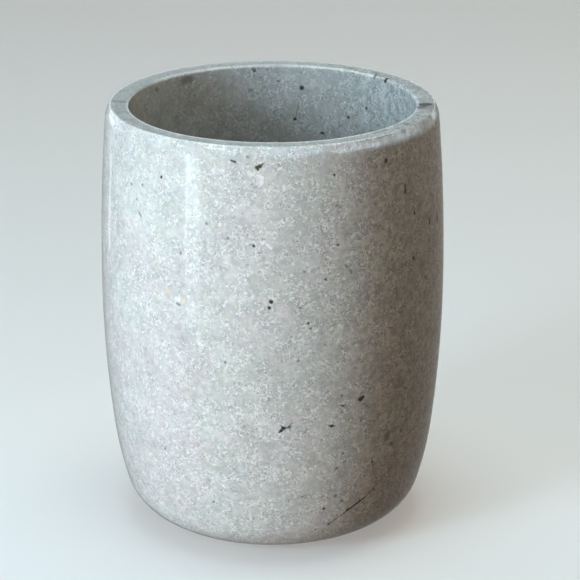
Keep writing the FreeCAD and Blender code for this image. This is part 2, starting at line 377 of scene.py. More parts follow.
def sliver_group():
    """Group: in each cell of space, where a point lies in a random, pointed ellipsoid:
    along^2 / half length^2 + across^2 / half width^2 below 1. Only a share of the cells has one."""
    tree = bpy.data.node_groups.new("slivers", "ShaderNodeTree")
    socket(tree, "Place", "NodeSocketVector")
    for name in ("Cell", "Half length", "Half width", "Share"):
        socket(tree, name, "NodeSocketFloat")
    socket(tree, "Sliver", "NodeSocketFloat", is_output=True)
    socket(tree, "Tone", "NodeSocketFloat", is_output=True)
    given = add(tree, "NodeGroupInput").outputs
    scale = maths(tree, "DIVIDE", 1.0, given["Cell"])
    cell = add(tree, "ShaderNodeTexVoronoi", {"Vector": given["Place"], "Scale": scale})
    offset = vectors(tree, "SUBTRACT", given["Place"], cell.outputs["Position"])
    axis = vectors(tree, "NORMALIZE",
                   vectors(tree, "SUBTRACT", cell.outputs["Color"], MIDDLE_COLOUR))
    along = maths(tree, "POWER", vectors(tree, "DOT_PRODUCT", offset, axis), 2.0)
    across = maths(tree, "SUBTRACT", vectors(tree, "DOT_PRODUCT", offset, offset), along)
    inside = maths(tree, "ADD",
                   maths(tree, "DIVIDE", along, maths(tree, "POWER", given["Half length"], 2.0)),
                   maths(tree, "DIVIDE", across, maths(tree, "POWER", given["Half width"], 2.0)))
    tone = maths(tree, "FRACT", vectors(tree, "DOT_PRODUCT", cell.outputs["Color"], TONE_MIX))
    chosen = maths(tree, "LESS_THAN", tone, given["Share"])
    sliver = maths(tree, "MULTIPLY", ramp(tree, inside, *SLIVER_EDGE), chosen)
    relative_tone = maths(tree, "DIVIDE", tone, given["Share"])
    add(tree, "NodeGroupOutput", {"Sliver": sliver, "Tone": relative_tone})
    return tree


SLIVERS = sliver_group()
print(f"slivers: {len(SLIVERS.nodes)} nodes")


def slivers(tree, place, cell, half_length, half_width, share):
    """Slivers of that size in millimetres: where they are, and a tone for each, from 0 to 1."""
    node = add(tree, "ShaderNodeGroup", node_tree=SLIVERS)
    tree.links.new(place, node.inputs["Place"])
    for name, value in (("Cell", cell), ("Half length", half_length), ("Half width", half_width),
                        ("Share", share)):
        node.inputs[name].default_value = value
    return node.outputs["Sliver"], node.outputs["Tone"]


# %% [markdown]
# ## Marks of its own
#
# Beside the grain, this block has marks that belong to no pattern: black grains, a chip, a brown
# hair vein, grey smudges. A few marks are painted light instead: painted shade on the rim, the
# right shoulder and inside the bore, and painted highlights on the left shoulder and under the
# front rim. Each is placed where the photograph shows it, by sending a ray from the camera through
# its pixel until it meets the stone. In the material a mark is a short stroke in space: the
# distance to a line between two points, through coordinates that a noise has shaken a little so
# that no mark has a drawn edge.

# %% From a pixel to a point on the stone
camera_turn = camera.rotation_euler.to_matrix()


def stone_point(x, y):
    """The point of the stone behind a pixel of the photograph, in metres."""
    across = (x - PICTURE_SIZE / 2) / FOCAL_LENGTH_PIXELS
    up = (PICTURE_SIZE / 2 - y) / FOCAL_LENGTH_PIXELS
    ray = camera_turn @ Vector((across, up, -1)).normalized()
    hit, where, *_ = stone.ray_cast(camera.location, ray)
    if not hit:
        raise RuntimeError(f"pixel {x}, {y} misses the stone")
    return where


# %% A node group for one stroke


def stroke_group():
    """Group: a colour laid over another near the line between two points. The distance is
    |p - a - t (b - a)| with t = (p - a).(b - a) / |b - a|^2 held between 0 and 1."""
    tree = bpy.data.node_groups.new("stroke", "ShaderNodeTree")
    for name, kind in (("Before", "NodeSocketColor"), ("Place", "NodeSocketVector"),
                       ("Start", "NodeSocketVector"), ("Run", "NodeSocketVector"),
                       ("Run squared", "NodeSocketFloat"), ("Outer", "NodeSocketFloat"),
                       ("Inner", "NodeSocketFloat"), ("Strength", "NodeSocketFloat"),
                       ("Colour", "NodeSocketColor")):
        socket(tree, name, kind)
    socket(tree, "After", "NodeSocketColor", is_output=True)
    given = add(tree, "NodeGroupInput").outputs
    from_start = vectors(tree, "SUBTRACT", given["Place"], given["Start"])
    share = maths(tree, "DIVIDE", vectors(tree, "DOT_PRODUCT", from_start, given["Run"]),
                  given["Run squared"])
    share = maths(tree, "MINIMUM", maths(tree, "MAXIMUM", share, 0.0), 1.0)
    nearest = add(tree, "ShaderNodeVectorMath", {0: given["Run"], "Scale": share},
                  operation="SCALE").outputs[0]
    distance = vectors(tree, "DISTANCE", from_start, nearest)
    near = ramp(tree, distance, given["Outer"], given["Inner"], 0.0, given["Strength"])
    add(tree, "NodeGroupOutput", {"After": tint(tree, given["Before"], given["Colour"], near)})
    return tree


STROKE = stroke_group()
print(f"stroke: {len(STROKE.nodes)} nodes")

# %% [markdown]
# ## The stone's recipe
#
# From the coarse to the fine: slow clouds that lean to green or to rose, a mottle of three sizes,
# blotches that grow stronger towards the right side and a faint tint. Over them lie thin curls of
# grey and of white shell, a few large pale shells, white and grey slivers and scattered black
# specks. Every layer is a solid texture, so it could be carved into any shape. For the slivers the
# places are shaken by a noise first, which bends them as shell sand is bent. All sizes and places
# are in millimetres.

# %% Clouds, mottle, blotches and tint
GREEN_PASTE = (0.555, 0.560, 0.520, 1)
ROSE_PASTE = (0.570, 0.548, 0.522, 1)
CLOUD_SIZE = 19.0
CLOUD_DETAIL = 3.0
CLOUD_STEP = (0.40, 0.60)
TONE_STEP = (0.25, 0.75)
TONES = [
    # size of the patches in mm, detail, darkest and palest
    (11.0, 2.0, 0.95, 1.05),
    (4.2, 3.0, 0.89, 1.09),
    (1.4, 3.0, 0.88, 1.10),
]
BLOTCH_SIZE = 1.5
BLOTCH_STEP = (0.3, 0.7)
BLOTCH_DARKEST = 0.76
BLOTCH_PALEST = 1.22
BLOTCHES_FROM = 4.0
BLOTCHES_TO = 30.0
TINT_SIZE = 2.8
TINT_DETAIL = 1.0
TINT_REACH = 0.12


def paste(tree, place):
    """The colour of the ground mass: a slow mix of two pastes, times noises of three sizes, times
    blotches that grow towards the right side, times a noise of its own for red, green and blue."""
    clouds = cloudy(tree, place, CLOUD_SIZE, CLOUD_DETAIL)
    colour = tint(tree, GREEN_PASTE, ROSE_PASTE, ramp(tree, clouds, *CLOUD_STEP))
    for size, detail, darkest, palest in TONES:
        patches = cloudy(tree, place, size, detail)
        tone = ramp(tree, patches, *TONE_STEP, darkest, palest)
        colour = tint(tree, colour, tone, 1.0, "MULTIPLY")
    blotches = ramp(tree, cloudy(tree, place, BLOTCH_SIZE), *BLOTCH_STEP, BLOTCH_DARKEST,
                    BLOTCH_PALEST)
    across = add(tree, "ShaderNodeSeparateXYZ", {0: place}).outputs["X"]
    colour = tint(tree, colour, blotches, ramp(tree, across, BLOTCHES_FROM, BLOTCHES_TO),
                  "MULTIPLY")
    noise = noise_of(tree, place, TINT_SIZE, TINT_DETAIL)
    shift = vectors(tree, "MULTIPLY_ADD", noise.outputs["Color"], [TINT_REACH] * 3,
                    [1 - TINT_REACH / 2] * 3)
    return tint(tree, colour, shift, 1.0, "MULTIPLY")


# %% Curls, slivers and grains
SHELL = (0.86, 0.86, 0.83, 1)
PALE_SHELL = (0.70, 0.70, 0.66, 1)
GREY_GRAIN = (0.30, 0.29, 0.28, 1)
BLACK_GRAIN = (0.035, 0.035, 0.032, 1)
NOISE_MIDDLE = 0.5
CURLS = [
    # colour, strength, size of the curls in mm, how far from the middle value, size of the breaks
    (GREY_GRAIN, 0.48, 1.0, 0.070, 0.8),
    (SHELL, 0.50, 1.1, 0.070, 0.75),
    (SHELL, 0.48, 0.7, 0.085, 0.6),
    (GREY_GRAIN, 0.42, 0.6, 0.065, 0.6),
]
BREAK_START = 0.48
BREAK_END = 0.57
APART = 31.7
SMOOTH_SIZE = 3.2
SMOOTH_START = 0.40
SMOOTH_END = 0.56
SMOOTHEST = 0.35
FULLEST = 1.4
CALM_SIDE = -20.0
CALMEST = 0.74
LIVELY_SIDE = 30.0
LIVELIEST = 1.15
GRAINS = [
    # colour, strength, cell, half length and half width in mm, share of the cells
    (PALE_SHELL, 0.45, 7.5, 1.6, 0.60, 0.45),
    (SHELL, 0.70, 1.25, 0.42, 0.19, 0.46),
    (GREY_GRAIN, 0.65, 1.10, 0.26, 0.15, 0.35),
    (BLACK_GRAIN, 0.75, 4.4, 0.24, 0.16, 0.30),
    (BLACK_GRAIN, 0.60, 1.9, 0.14, 0.10, 0.28),
]


def with_shells(tree, colour, place, shaken):
    """Shell over the paste. A curl runs where a noise crosses its middle value and another noise
    doesn't break it. A slow noise leaves some places almost smooth, and the curls grow fainter
    towards the left side and stronger towards the right. A sliver is where its cell has one, and
    covers by half its strength or more."""
    full = ramp(tree, cloudy(tree, place, SMOOTH_SIZE), SMOOTH_START, SMOOTH_END, SMOOTHEST,
                FULLEST)
    across = add(tree, "ShaderNodeSeparateXYZ", {0: place}).outputs["X"]
    full = maths(tree, "MULTIPLY", full, ramp(tree, across, 0.0, CALM_SIDE, 1.0, CALMEST))
    full = maths(tree, "MULTIPLY", full, ramp(tree, across, 0.0, LIVELY_SIDE, 1.0, LIVELIEST))
    for number, (grain, strength, size, reach, break_size) in enumerate(CURLS):
        away = vectors(tree, "ADD", place, [APART * (number + 1)] * 3)
        crossing = maths(tree, "SUBTRACT", cloudy(tree, away, size, 0.0), NOISE_MIDDLE)
        curl = ramp(tree, maths(tree, "ABSOLUTE", crossing), reach, reach / 2)
        kept = ramp(tree, cloudy(tree, away, break_size, 0.0), BREAK_START, BREAK_END, 0.0, strength)
        cover = maths(tree, "MULTIPLY", maths(tree, "MULTIPLY", curl, kept), full)
        colour = tint(tree, colour, grain, cover)
    for grain, strength, cell, half_length, half_width, share in GRAINS:
        sliver, tone = slivers(tree, shaken, cell, half_length, half_width, share)
        cover = maths(tree, "MULTIPLY_ADD", tone, strength / 2, strength / 2)
        colour = tint(tree, colour, grain, maths(tree, "MULTIPLY", sliver, cover))
    return colour


# %% [markdown]
# ## The marks one by one
#
# Most marks are specks, placed by one pixel of the photograph. The others are strokes from one
# pixel to another. Each has a half width in millimetres, a colour, and a strength from 0 to 1 for
# how fully it covers the stone.

# %% Colours of the marks
BLACK = (0.020, 0.022, 0.020, 1)
OLIVE = (0.040, 0.044, 0.028, 1)
BROWN = (0.070, 0.052, 0.034, 1)
GREY = (0.17, 0.168, 0.165, 1)
# painted shade: the dull violet where the rim's outer band turns from the light
PAINTED_SHADE_LILAC = (0.20, 0.18, 0.21, 1)
CREAM = (0.78, 0.68, 0.44, 1)
WHITE = (0.90, 0.90, 0.88, 1)

# %% Specks
SPECKS = [
    # name, pixel, half width in mm, colour, strength
    ("speck above the chip", (247.5, 157), 0.34, GREY, 0.75),
    ("ring left of the chip", (220, 168), 0.34, GREY, 0.35),
    ("black speck high left", (161.5, 177), 0.34, BLACK, 0.95),
    ("grey speck high left", (131.5, 184), 0.30, GREY, 0.75),
    ("its neighbour", (142.5, 185), 0.32, GREY, 0.75),
    ("speck below them", (136.5, 199), 0.28, BLACK, 0.60),
    ("black speck high right", (334.5, 175), 0.32, BLACK, 0.95),
    ("grey ring speck", (337, 205.5), 0.42, GREY, 0.60),
    ("black dot", (254, 246), 0.34, BLACK, 0.95),
    ("speck left", (206.5, 223.5), 0.34, GREY, 0.80),
    ("speck lower left", (228, 238.5), 0.36, GREY, 0.75),
    ("black speck right", (338, 245), 0.32, BLACK, 0.85),
    ("pale bit right", (293, 264), 0.40, WHITE, 0.55),
    ("black speck middle", (325.8, 279.5), 0.34, BLACK, 0.90),
    ("grey speck middle", (304.3, 271.5), 0.32, GREY, 0.80),
    ("upper of two dots", (271.2, 301.8), 0.47, BLACK, 1.0),
    ("lower of two dots", (269.3, 308), 0.38, BLACK, 1.0),
    ("grey speck by the dots", (300.3, 308), 0.30, GREY, 0.80),
    ("black speck below", (308.3, 323.3), 0.32, BLACK, 0.95),
    ("grey speck below", (310.5, 328.5), 0.36, GREY, 0.85),
    ("speck of the middle", (298.3, 361), 0.30, GREY, 0.80),
    ("left speck of the lower side", (225.3, 362.3), 0.32, BLACK, 0.80),
    ("speck over the arc", (341.5, 395.8), 0.32, GREY, 0.95),
    ("heart of the cluster", (283.3, 428.3), 0.54, BLACK, 1.0),
    ("foot of the cluster", (281, 430.8), 0.38, BLACK, 1.0),
    ("right clump of the cluster", (289.5, 427), 0.42, BLACK, 0.85),
    ("heart of the dash", (331.6, 425.9), 0.40, BLACK, 1.0),
    ("dark grain right", (360.6, 399), 0.64, BLACK, 1.0),
    ("its upper corner", (363, 396.9), 0.42, BLACK, 0.95),
    ("crumb below it", (364.2, 403.8), 0.26, GREY, 0.85),
    ("lower crumb", (366.6, 406), 0.28, GREY, 0.80),
    ("end of the small arc", (343.6, 406), 0.28, BLACK, 0.75),
    ("brown smudge, lower", (387, 437.5), 0.85, BROWN, 0.58),
    ("brown smudge, upper", (388, 433), 0.75, BROWN, 0.52),
    ("blotch right of the smudge", (401, 430.5), 0.52, BROWN, 0.65),
    ("blotch below the smudge", (391, 443.5), 0.52, BROWN, 0.80),
    ("speck over the vein", (343, 453.3), 0.36, GREY, 0.70),
    ("brown speck of the heel", (336.8, 468.2), 0.38, BROWN, 0.70),
    ("speck of the lower middle", (302.5, 496.7), 0.32, GREY, 0.65),
    ("start of the vein", (328.5, 524), 0.36, BROWN, 0.75),
    ("grain on the vein", (347.5, 509.4), 0.34, BLACK, 0.90),
    ("second grain on the vein", (357, 503.2), 0.32, BLACK, 0.85),
    ("third grain on the vein", (359.5, 500.5), 0.30, BLACK, 0.80),
    ("pit beyond the vein", (373.5, 489.3), 0.46, BROWN, 0.65),
    ("grain on the branch", (372, 461.5), 0.26, BLACK, 0.75),
    ("pale patch of the lower middle", (275, 475), 0.70, WHITE, 0.25),
    ("pale patch of the heel", (340, 485), 0.75, WHITE, 0.22),
    ("dark speck low left", (165, 448.5), 0.32, BLACK, 0.80),
    ("shell low in the middle", (286.5, 449), 0.65, WHITE, 0.40),
    ("speck by the foot", (213.5, 501.8), 0.36, GREY, 0.80),
    ("rosy speck one", (335.2, 496), 0.46, GREY, 0.85),
    ("rosy speck two", (341.8, 501), 0.42, GREY, 0.70),
    ("black speck by the foot", (323.8, 508.7), 0.38, BLACK, 0.90),
    ("spot under the right rim", (386, 160.8), 0.56, OLIVE, 1.0),
    ("dark speck far right", (414.5, 213), 0.40, BLACK, 1.0),
    ("lower dark speck far right", (413.5, 258), 0.42, BLACK, 0.95),
    ("speck left of it", (392, 260), 0.34, GREY, 0.70),
    ("speck near the right edge", (425.6, 277), 0.38, BLACK, 0.85),
    ("rim speck three", (344.5, 67), 0.34, GREY, 0.85),
    ("speck inside right, higher", (348.3, 117.5), 0.40, BLACK, 0.90),
    ("speck inside far right", (366.3, 108), 0.38, BLACK, 0.90),
    ("speck inside high", (278.3, 81), 0.30, BLACK, 0.75),
    ("speck inside high left", (254.3, 70.5), 0.42, BLACK, 0.85),
    ("large speck inside", (301.8, 87.8), 0.56, BLACK, 1.0),
    ("lower speck inside", (295, 119), 0.44, BLACK, 0.95),
]

# %% Strokes
STROKES = [
    # name, first pixel, last pixel, half width in mm, colour, strength
    ("chip below the rim", (256.6, 167.6), (260, 166.3), 0.40, OLIVE, 1.0),
    ("point of the chip", (258, 169.6), (258.4, 168), 0.26, OLIVE, 0.95),
    ("tail of the chip", (260, 166), (263, 164), 0.22, OLIVE, 0.85),
    ("pale edge of the chip", (249, 172.5), (250.5, 175), 0.45, WHITE, 0.45),
    ("pale corner of the chip", (252, 174.5), (254, 173.5), 0.32, WHITE, 0.40),
    ("shell below the chip", (257.8, 175.3), (262, 177), 0.30, WHITE, 0.60),
    ("its lower arm", (262.3, 178), (261.8, 183), 0.40, WHITE, 0.60),
    ("its foot", (261, 184), (259.5, 186.5), 0.26, WHITE, 0.50),
    ("dash left of the chip", (231.2, 160.6), (235, 161.8), 0.26, BLACK, 0.90),
    ("smear left of the chip", (214, 171), (221, 170), 0.75, WHITE, 0.30),
    # painted highlight: a thin white line along the front rim's edge
    ("front rim, painted highlight", (205, 147.5), (223, 149), 0.20, WHITE, 0.50),
    ("dash of the left side", (139, 212), (141, 216), 0.26, GREY, 0.80),
    # painted highlight: ragged white along the left shoulder's gleam
    ("left shoulder, painted highlight, upper", (111, 110), (118, 117), 0.34, WHITE, 0.55),
    ("left shoulder, painted highlight, lower", (110, 115), (114, 124), 0.36, WHITE, 0.50),
    ("pale fleck", (284, 187), (284, 190), 0.36, WHITE, 0.60),
    ("pale fleck by the dot", (262, 243), (264, 242.5), 0.34, WHITE, 0.65),
    ("pale hook by the dot", (266.5, 244.5), (271, 248.5), 0.30, WHITE, 0.70),
    ("curl of dark grains, upper", (345.5, 265), (347.5, 267.5), 0.22, GREY, 0.70),
    ("curl of dark grains, lower", (350.5, 270), (351.5, 273.5), 0.22, GREY, 0.65),
    ("cream inclusion", (180.5, 299.5), (182.5, 300.5), 0.72, CREAM, 0.50),
    ("its paler part", (176.5, 299.5), (178, 299), 0.60, WHITE, 0.50),
    ("dark edge of the inclusion", (177, 303.5), (180, 305), 0.26, GREY, 0.70),
    ("yellow stain", (166.5, 288), (168, 291), 0.55, CREAM, 0.35),
    ("speck in the streak", (180.5, 252), (181, 254), 0.26, GREY, 0.75),
    ("left leg of the cluster", (279.5, 432.3), (282, 430), 0.19, BLACK, 0.95),
    ("upper leg of the cluster", (281, 425.5), (283, 428), 0.15, BLACK, 0.80),
    ("bridge of the cluster", (284, 428), (289, 428), 0.16, BLACK, 0.70),
    ("top arm of the cluster", (290, 426), (291.8, 422.8), 0.16, GREY, 0.85),
    ("lower arm of the cluster", (289, 428.5), (290.3, 431), 0.14, GREY, 0.75),
    ("points of the dash", (328.6, 425.6), (334.6, 426.1), 0.15, BLACK, 0.85),
    ("small arc", (340.3, 405.3), (343.6, 406.2), 0.15, BLACK, 0.75),
    ("smudge between its blotches", (391, 431.5), (394, 429), 0.50, BROWN, 0.28),
    ("upper edge of the smudge", (395, 427.5), (399, 426), 0.34, BROWN, 0.30),
    ("dark grain under the right rim", (405, 186), (405.5, 192), 0.36, BLACK, 0.85),
    ("stroke near the right edge", (430, 219), (429.5, 223), 0.40, BLACK, 1.0),
    ("stroke at the right edge", (437.5, 216), (437, 221), 0.46, BLACK, 1.0),
    ("pale line under the right rim", (425.5, 137), (426, 160), 0.22, WHITE, 0.28),
    ("pale line left of it", (379, 162), (379.5, 181), 0.22, WHITE, 0.28),
    # The violet strokes on the right rim, the right shoulder and the left rim are painted shade.
    ("right rim, painted shade", (424, 106.6), (433, 106.2), 2.20, PAINTED_SHADE_LILAC, 0.60),
    ("streak of the right rim", (424.3, 104.6), (426.8, 104.4), 1.50, BLACK, 1.0),
    ("second streak of the right rim", (418.5, 107.5), (424.5, 107), 0.70, BLACK, 0.85),
    ("right shoulder, painted shade", (428, 112), (433, 109), 0.70, PAINTED_SHADE_LILAC, 0.40),
    ("left rim, painted shade", (113, 101), (124, 102), 0.70, PAINTED_SHADE_LILAC, 0.45),
    ("rim speck one", (374.6, 77.2), (376.6, 74.4), 0.42, BLACK, 0.80),
    ("rim speck two", (385.4, 81.2), (387, 78.6), 0.46, BLACK, 1.0),
    ("rim speck four", (252, 69), (254, 69), 0.30, GREY, 0.80),
    ("rim speck five", (405.5, 124.2), (407.5, 123.8), 0.60, BLACK, 0.80),
    ("rim speck six", (402.5, 131.5), (404.5, 130.8), 0.50, GREY, 0.75),
    ("grey line of the rim, nearer", (374, 133), (386, 130), 0.45, GREY, 0.50),
    ("grey line of the rim, farther", (394, 126), (403, 122.5), 0.50, GREY, 0.50),
    ("tail of the lower speck", (295.5, 117.5), (299, 103), 0.14, GREY, 0.60),
    ("speck inside right", (321.5, 133), (323, 133), 0.36, BLACK, 0.90),
    # painted shade: darker strokes inside the bore, where its wall turns from the light
    ("bore wall left, painted shade", (184, 81), (190, 79.5), 0.95, OLIVE, 0.45),
    ("bore wall far left, painted shade", (156, 89), (158, 90), 0.50, GREY, 0.50),
    ("bore wall middle, painted shade", (250, 90), (252, 90), 0.42, GREY, 0.55),
]

# %% The vein
VEIN = [(328.5, 524), (343.5, 513.3), (346.5, 510.8), (357, 503), (365, 497), (370, 491),
        (381.5, 478.5), (391.5, 466.7), (408, 448.5)]
VEIN_HALF_WIDTHS = [0.15, 0.18, 0.26, 0.24, 0.16, 0.13, 0.12, 0.12]
VEIN_STRENGTHS = [0.85, 0.95, 1.0, 0.95, 0.80, 0.65, 0.55, 0.55]
BRANCH = [(371.7, 458.3), (373.3, 465), (372.5, 471), (378, 480)]
BRANCH_HALF_WIDTHS = [0.16, 0.12, 0.10]
BRANCH_STRENGTHS = [0.70, 0.45, 0.35]
for name, path, half_widths, strengths in (
        ("vein", VEIN, VEIN_HALF_WIDTHS, VEIN_STRENGTHS),
        ("branch", BRANCH, BRANCH_HALF_WIDTHS, BRANCH_STRENGTHS)):
    stretches = zip(path, path[1:], half_widths, strengths)
    for number, (first, last, half_width, strength) in enumerate(stretches, 1):
        STROKES.append((f"{name} {number}", first, last, half_width, BROWN, strength))
print(len(SPECKS), "specks,", len(STROKES), "strokes")

# %% Lay the marks over a colour
MARK_EDGE = 0.45
MARK_SHAKE_SIZE = 0.50
MARK_SHAKE_REACH = 0.42


def with_marks(tree, colour, place):
    """Specks and strokes over a colour, at places shaken by a fine noise that makes their edges
    ragged. Each fades from its strength to nothing across the edge of its half width."""
    place = shake_place(tree, place, MARK_SHAKE_SIZE, MARK_SHAKE_REACH)
    for name, pixel, half_width, mark_colour, strength in SPECKS:
        distance = vectors(tree, "DISTANCE", place, stone_point(*pixel) / MM)
        outer, inner = half_width * (1 + MARK_EDGE), half_width * (1 - MARK_EDGE)
        cover = ramp(tree, distance, outer, inner, 0.0, strength)
        cover.node.label = name
        colour = tint(tree, colour, mark_colour, cover)
    for name, first, last, half_width, mark_colour, strength in STROKES:
        start = stone_point(*first) / MM
        run = stone_point(*last) / MM - start
        mark = add(tree, "ShaderNodeGroup",
                   {"Before": colour, "Place": place, "Start": start, "Run": run,
                    "Run squared": run.length_squared, "Outer": half_width * (1 + MARK_EDGE),
                    "Inner": half_width * (1 - MARK_EDGE), "Strength": strength,
                    "Colour": mark_colour}, node_tree=STROKE, label=name)
        colour = mark.outputs["After"]
    return colour


# %% [markdown]
# ## Polish
#
# The stone is buffed, not glazed. Its gloss comes straight from the stone, so the shader needs no
# coat. The polish is a little uneven, which a noise in the roughness shows. The dark grains are
# softer and have broken out to open pits, so they mirror almost nothing. In the bump a slow ripple
# bends long reflections and a fine grit breaks their edges.

# %% Gloss and bump of the stone
SHAKE_SIZE = 1.3
SHAKE_REACH = 0.9
GLOSS_SIZE = 2.5
GLOSS_DETAIL = 3.0
GLOSS_STEP = (0.3, 0.7)
GLOSSIEST = 0.035
DULLEST = 0.08
PIT_BRIGHTNESS = (0.35, 0.05)  # from where to where a colour counts as an open, dull grain
PIT_ROUGHNESS = 0.85
STONE_IOR = 1.52
GRIT_SIZE = 0.6
GRIT_DETAIL = 3.0
GRIT_DEPTH = 0.0008
RIPPLE_SIZE = 4.0
RIPPLE_DETAIL = 1.0
RIPPLE_DEPTH = 0.004


def stone_finish(name):
    """The whole stone with its marks: colour, roughness and bump."""
    material, tree, shader = new_tree(name)
    place = place_in_millimetres(tree)
    shaken = shake_place(tree, place, SHAKE_SIZE, SHAKE_REACH)
    colour = with_shells(tree, paste(tree, place), place, shaken)
    colour = with_marks(tree, colour, place)
    tree.links.new(colour, shader.inputs["Base Color"])

    gloss = ramp(tree, cloudy(tree, place, GLOSS_SIZE, GLOSS_DETAIL), *GLOSS_STEP, GLOSSIEST,
                 DULLEST)
    brightness = add(tree, "ShaderNodeRGBToBW", {0: colour}).outputs[0]
    dark = ramp(tree, brightness, *PIT_BRIGHTNESS, 0.0, PIT_ROUGHNESS)
    tree.links.new(maths(tree, "ADD", gloss, dark), shader.inputs["Roughness"])
    shader.inputs["IOR"].default_value = STONE_IOR

    grit = maths(tree, "MULTIPLY", cloudy(tree, place, GRIT_SIZE, GRIT_DETAIL), GRIT_DEPTH)
    ripple = maths(tree, "MULTIPLY", cloudy(tree, place, RIPPLE_SIZE, RIPPLE_DETAIL), RIPPLE_DEPTH)
    bump = add(tree, "ShaderNodeBump", {"Height": maths(tree, "ADD", grit, ripple),
                                        "Strength": 1.0, "Distance": MM})
    tree.links.new(bump.outputs[0], shader.inputs["Normal"])
    print(f"{name}: {len(tree.nodes)} nodes")
    return material


stone.data.materials.append(stone_finish("polished shell limestone"))

# %% [markdown]
# ## Pads and their adhesive
#
# The pads are polyurethane, cast in drops: nearly clear, a little cloudy, with a faint bloom on
# their gloss. The film over each is milky from the air trapped in it. Both could be new meshes,
# but the solids already have their true shape, so they only get a finish.

# %% Clear pads
PAD_COLOUR = (0.82, 0.84, 0.84, 1)
PAD_BLOOM = (0.70, 0.71, 0.69, 1)
BLOOM_SIZE = 1.6
BLOOM_DETAIL = 4.0
BLOOM_STEP = (0.35, 0.75)
PAD_GLOSSIEST = 0.10
PAD_DULLEST = 0.38
PAD_CLEARNESS = 0.40
PAD_IOR = 1.49
DIMPLE_SIZE = 0.9
DIMPLE_STRENGTH = 0.4
DIMPLE_DEPTH = 0.02 * MM


def pad_finish(name):
    """Clear plastic whose bloom dulls and greys it in patches, with shallow dimples."""
    material, tree, shader = new_tree(name)
    place = place_in_millimetres(tree)
    bloom = ramp(tree, cloudy(tree, place, BLOOM_SIZE, BLOOM_DETAIL), *BLOOM_STEP)
    tree.links.new(tint(tree, PAD_COLOUR, PAD_BLOOM, bloom), shader.inputs["Base Color"])
    roughness = ramp(tree, bloom, 0.0, 1.0, PAD_GLOSSIEST, PAD_DULLEST)
    tree.links.new(roughness, shader.inputs["Roughness"])
    shader.inputs["Transmission Weight"].default_value = PAD_CLEARNESS
    shader.inputs["IOR"].default_value = PAD_IOR
    dimples = add(tree, "ShaderNodeBump", {"Height": cloudy(tree, place, DIMPLE_SIZE),
                                           "Strength": DIMPLE_STRENGTH, "Distance": DIMPLE_DEPTH})
    tree.links.new(dimples.outputs[0], shader.inputs["Normal"])
    return material


# %% Adhesive film
FILM_COLOUR = (0.78, 0.78, 0.73, 1)
FILM_BUBBLE = (0.93, 0.93, 0.91, 1)
BUBBLE_CELL = 0.9
BUBBLE_HALF_LENGTH = 0.25
BUBBLE_HALF_WIDTH = 0.22
BUBBLE_SHARE = 0.6
MATT_SIZE = 1.2
MATT_DETAIL = 3.0
MATT_STEP = (0.3, 0.7)
FILM_GLOSSIEST = 0.35
FILM_DULLEST = 0.60


def film_finish(name):
    """A milky film with round bubbles, which are short slivers, and an uneven, matt gloss."""
    material, tree, shader = new_tree(name)
    place = place_in_millimetres(tree)
    bubble, _ = slivers(tree, place, BUBBLE_CELL, BUBBLE_HALF_LENGTH, BUBBLE_HALF_WIDTH,
                        BUBBLE_SHARE)
    tree.links.new(tint(tree, FILM_COLOUR, FILM_BUBBLE, bubble), shader.inputs["Base Color"])
    matt = ramp(tree, cloudy(tree, place, MATT_SIZE, MATT_DETAIL), *MATT_STEP, FILM_GLOSSIEST,
                FILM_DULLEST)
    tree.links.new(matt, shader.inputs["Roughness"])
    return material


# %% Dress the pads and the films
finishes = {"base_pad": pad_finish("clear polyurethane"),
            "pad_adhesive": film_finish("milky adhesive film")}
for name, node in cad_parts.items():
    for start, material in finishes.items():
        if name.startswith(start):
            node.data.materials.clear()
            node.data.materials.append(material)
            print(f"{name}: {material.name}")

# %% [markdown]
# ## The floor
#
# The floor is a plain pale sheet. A camera ray sees its pale colour with the tumbler's shadow on
# it, and a faint glow keeps it pale to the edges of the picture. The polish and the clear pads show
# that glow too. The light that the floor throws back up on the stone is kept low and warm, so that
# the shaded side stays deep. It could be done with less light and a paler picture afterwards, but
# Light Path, which tells the kinds of ray apart, keeps both in the material.

# %% A pale floor
FLOOR_HALF_SIZE = 3.0
FLOOR_COLOUR = (0.64, 0.63, 0.612, 1)
FLOOR_BOUNCE = (0.05, 0.04, 0.03, 1)
FLOOR_GLOW = 0.26


def seen_and_glow(tree):
    """Two numbers about a ray: 1 where a camera or a clear pad sees by it, and the strength of
    the glow, which reaches those rays and the polish's."""
    ray = add(tree, "ShaderNodeLightPath").outputs
    seen = maths(tree, "MAXIMUM", ray["Is Camera Ray"], ray["Is Transmission Ray"])
    lit = maths(tree, "MAXIMUM", seen, ray["Is Glossy Ray"])
    return seen, maths(tree, "MULTIPLY", lit, FLOOR_GLOW / FLOOR_COLOUR[0])


floor_mesh = bpy.data.meshes.new("floor")
corners = np.array([(-1, -1, 0), (1, -1, 0), (1, 1, 0), (-1, 1, 0)]) * FLOOR_HALF_SIZE
floor_mesh.from_pydata(corners.tolist(), [], [(0, 1, 2, 3)])
floor = bpy.data.objects.new("floor", floor_mesh)
scene.collection.objects.link(floor)
floor_material, tree, shader = new_tree("pale table top")
seen, glow = seen_and_glow(tree)
tree.links.new(tint(tree, FLOOR_BOUNCE, FLOOR_COLOUR, seen), shader.inputs["Base Color"])
tree.links.new(glow, shader.inputs["Emission Strength"])
shader.inputs["Emission Color"].default_value = FLOOR_COLOUR
shader.inputs["Specular IOR Level"].default_value = 0.0
floor.data.materials.append(floor_material)
print(f"floor: {2 * FLOOR_HALF_SIZE:.0f} m square")

# %% A pale room behind it
world = bpy.data.worlds.new("room")
scene.world = world
world.use_nodes = True
background = world.node_tree.nodes["Background"]
background.inputs["Color"].default_value = FLOOR_COLOUR
_, glow = seen_and_glow(world.node_tree)
world.node_tree.links.new(glow, background.inputs["Strength"])

